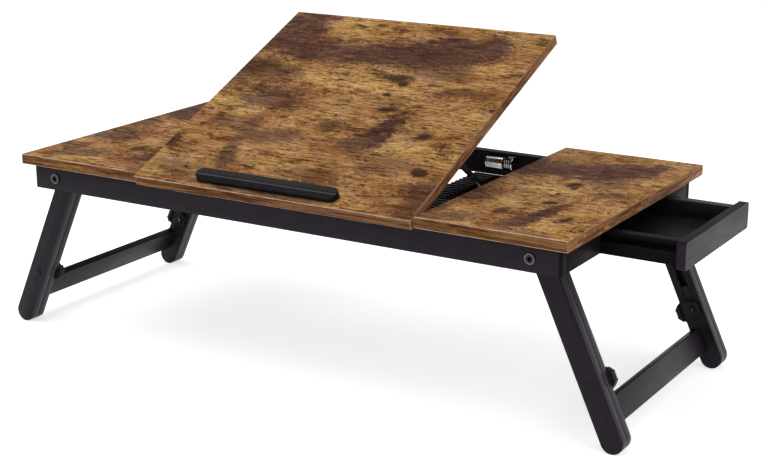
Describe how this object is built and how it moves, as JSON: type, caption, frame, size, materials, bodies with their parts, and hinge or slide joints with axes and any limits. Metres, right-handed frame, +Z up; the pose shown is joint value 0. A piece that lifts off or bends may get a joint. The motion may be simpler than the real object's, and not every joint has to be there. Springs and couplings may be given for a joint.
{
  "type": "folding laptop table",
  "caption": "Low folding laptop table: wood-look top with a tilting centre panel and book ledge, side drawer, and folding leg frames that slide out for height.",
  "frame": {"origin": "on the floor under the middle of the table top", "axes": "+X along the table towards the drawer, +Y to the rear, +Z up"},
  "size_m": [0.8334, 0.3653, 0.3605],
  "materials": {
    "rustic_board": "matte rustic wood print",
    "black_wood": "satin black paint with faint grain",
    "black_plastic": "fine moulded texture",
    "dark_steel": "blackened",
    "bright_steel": "bright plated"
  },
  "bodies": {
    "frame": {"front_rail": "black_wood", "rear_rail": "black_wood", "left_end_rail": "black_wood", "right_front_stub": "black_wood", "right_rear_stub": "black_wood", "left_top_panel": "rustic_board", "right_top_panel": "rustic_board", "left_batten": "black_wood", "right_batten": "black_wood", "left_rack": "black_plastic", "right_rack": "black_plastic", "front_drawer_runner": "black_wood", "rear_drawer_runner": "black_wood", "leg_bolts": "bright_steel", "leg_spacers": "black_plastic", "leg_nuts": "dark_steel", "hinge_rail_leaves": "dark_steel", "hinge_pins": "dark_steel", "left_catch_bracket": "bright_steel", "right_catch_bracket": "bright_steel", "catch_axles": "dark_steel", "catch_springs": "bright_steel"},
    "left_roller": {"left_catch_roller": "bright_steel"},
    "right_roller": {"right_catch_roller": "bright_steel"},
    "tilt_top": {"tilt_panel": "rustic_board", "book_ledge": "black_plastic", "hinge_panel_leaves": "dark_steel", "prop_brackets": "dark_steel", "prop_pins": "dark_steel"},
    "left_prop_arm": {"left_prop": "dark_steel"},
    "right_prop_arm": {"right_prop": "dark_steel"},
    "drawer": {"drawer_front": "black_wood", "drawer_front_side": "black_wood", "drawer_rear_side": "black_wood", "drawer_back": "black_wood", "drawer_bottom": "black_wood"},
    "left_leg": {"left_front_outer_plank": "black_wood", "left_rear_outer_plank": "black_wood", "left_slot_guides": "black_wood", "left_latch_studs": "dark_steel", "left_latch_springs": "bright_steel"},
    "left_extension": {"left_front_inner_plank": "black_wood", "left_rear_inner_plank": "black_wood", "left_crossbar": "black_wood"},
    "left_front_lever": {"left_front_latch": "black_plastic"},
    "left_rear_lever": {"left_rear_latch": "black_plastic"},
    "right_leg": {"right_front_outer_plank": "black_wood", "right_rear_outer_plank": "black_wood", "right_slot_guides": "black_wood", "right_latch_studs": "dark_steel", "right_latch_springs": "bright_steel"},
    "right_extension": {"right_front_inner_plank": "black_wood", "right_rear_inner_plank": "black_wood", "right_crossbar": "black_wood"},
    "right_front_lever": {"right_front_latch": "black_plastic"},
    "right_rear_lever": {"right_rear_latch": "black_plastic"}
  },
  "joints": [
    {"name": "left_leg_fold", "type": "hinge", "parent": "frame", "child": "left_leg", "pos_m": [-0.306, 0, 0.196], "axis": [0, -1, 0], "range_deg": [0, 111]},
    {"name": "left_leg_extend", "type": "slide", "parent": "left_leg", "child": "left_extension", "axis": [-0.4147, 0, -0.91], "range_m": [0, 0.075]},
    {"name": "left_front_latch_press", "type": "hinge", "parent": "left_leg", "child": "left_front_lever", "pos_m": [-0.36495, -0.15, 0.06664], "axis": [0, 1, 0], "range_deg": [0, 18], "stiffness_Nm_per_rad": 0.06, "springref_deg": -14.32},
    {"name": "left_rear_latch_press", "type": "hinge", "parent": "left_leg", "child": "left_rear_lever", "pos_m": [-0.36495, 0.15, 0.06664], "axis": [0, -1, 0], "range_deg": [0, 18], "stiffness_Nm_per_rad": 0.06, "springref_deg": -14.32},
    {"name": "right_leg_fold", "type": "hinge", "parent": "frame", "child": "right_leg", "pos_m": [0.306, 0, 0.196], "axis": [0, 1, 0], "range_deg": [0, 111]},
    {"name": "right_leg_extend", "type": "slide", "parent": "right_leg", "child": "right_extension", "axis": [0.4147, 0, -0.91], "range_m": [0, 0.075]},
    {"name": "right_front_latch_press", "type": "hinge", "parent": "right_leg", "child": "right_front_lever", "pos_m": [0.36495, -0.15, 0.06664], "axis": [0, 1, 0], "range_deg": [0, 18], "stiffness_Nm_per_rad": 0.06, "springref_deg": -14.32},
    {"name": "right_rear_latch_press", "type": "hinge", "parent": "right_leg", "child": "right_rear_lever", "pos_m": [0.36495, 0.15, 0.06664], "axis": [0, -1, 0], "range_deg": [0, 18], "stiffness_Nm_per_rad": 0.06, "springref_deg": -14.32},
    {"name": "top_tilt", "type": "hinge", "parent": "frame", "child": "tilt_top", "pos_m": [0, -0.1745, 0.2074], "axis": [1, 0, 0], "range_deg": [-23.15, 8]},
    {"name": "left_prop_swing", "type": "hinge", "parent": "tilt_top", "child": "left_prop_arm", "pos_m": [-0.156, -0.05654, 0.25513], "axis": [1, 0, 0], "range_deg": [-20, 57.4]},
    {"name": "right_prop_swing", "type": "hinge", "parent": "tilt_top", "child": "right_prop_arm", "pos_m": [0.156, -0.05654, 0.25513], "axis": [1, 0, 0], "range_deg": [-20, 57.4]},
    {"name": "drawer_slide", "type": "slide", "parent": "frame", "child": "drawer", "axis": [1, 0, 0], "range_m": [-0.082, 0.025]},
    {"name": "left_roller_spin", "type": "hinge", "parent": "frame", "child": "left_roller", "pos_m": [-0.10434, 0.158, 0.198], "axis": [1, 0, 0], "continuous": true},
    {"name": "right_roller_spin", "type": "hinge", "parent": "frame", "child": "right_roller", "pos_m": [0.10434, 0.158, 0.198], "axis": [1, 0, 0], "continuous": true}
  ],
  "couplings": [
    {"joint": "left_prop_swing", "follows": "top_tilt", "ratio": -2.4655},
    {"joint": "right_prop_swing", "follows": "top_tilt", "ratio": -2.4655}
  ]
}
